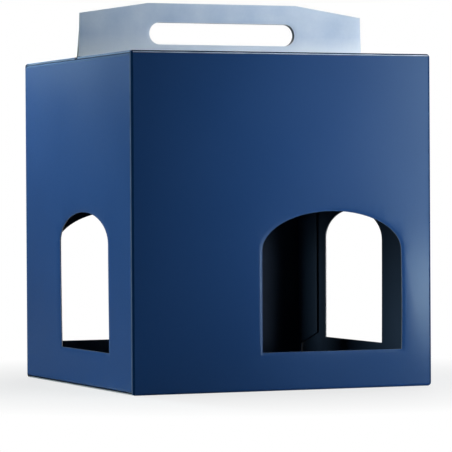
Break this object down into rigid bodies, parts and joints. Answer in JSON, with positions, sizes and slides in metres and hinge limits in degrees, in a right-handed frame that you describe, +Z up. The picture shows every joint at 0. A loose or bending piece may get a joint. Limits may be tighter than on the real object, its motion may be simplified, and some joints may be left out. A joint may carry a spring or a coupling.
{
  "type": "cardboard bottle box",
  "caption": "Square folded-board bottle carrier with arched windows in its walls, glued floor, hinged roof panels and a slotted carry handle.",
  "frame": {"origin": "middle of the underside, on the surface that it stands on", "axes": "+Z up towards the handle; +Y from the front wall to the back wall; +X to the right seen from the front; the handle runs along X"},
  "size_m": [0.258, 0.254, 0.3121],
  "materials": {
    "navy_board": "printed, lightly varnished",
    "handle_board": "printed, lightly varnished",
    "inner_board": "matt printed inside"
  },
  "bodies": {
    "root": {"front_wall": "navy_board", "back_wall": "navy_board", "left_wall": "navy_board", "right_wall": "navy_board", "glue_tab": "inner_board", "front_bottom_flap": "navy_board", "rear_bottom_flap": "navy_board", "left_bottom_flap": "inner_board", "right_bottom_flap": "inner_board"},
    "front_roof": {"front_top_panel": "navy_board"},
    "front_grip": {"front_handle_ply": "handle_board"},
    "rear_roof": {"rear_top_panel": "navy_board"},
    "rear_grip": {"rear_handle_ply": "handle_board"},
    "left_dust": {"left_dust_flap": "inner_board"},
    "right_dust": {"right_dust_flap": "inner_board"}
  },
  "joints": [
    {"name": "front_top_open", "type": "hinge", "parent": "root", "child": "front_roof", "pos_m": [0, -0.127, 0.267], "axis": [1, 0, 0], "range_deg": [0, 225]},
    {"name": "rear_top_open", "type": "hinge", "parent": "root", "child": "rear_roof", "pos_m": [0, 0.127, 0.267], "axis": [-1, 0, 0], "range_deg": [0, 225]},
    {"name": "front_ply_fold", "type": "hinge", "parent": "front_roof", "child": "front_grip", "pos_m": [0, -0.0028, 0.2673], "axis": [1, 0, 0], "range_deg": [0, 90]},
    {"name": "rear_ply_fold", "type": "hinge", "parent": "rear_roof", "child": "rear_grip", "pos_m": [0, 0.0028, 0.2673], "axis": [-1, 0, 0], "range_deg": [0, 90]},
    {"name": "left_dust_fold", "type": "hinge", "parent": "root", "child": "left_dust", "pos_m": [-0.1274, 0, 0.2635], "axis": [0, 1, 0], "range_deg": [0, 80]},
    {"name": "right_dust_fold", "type": "hinge", "parent": "root", "child": "right_dust", "pos_m": [0.1274, 0, 0.2635], "axis": [0, -1, 0], "range_deg": [0, 80]}
  ]
}
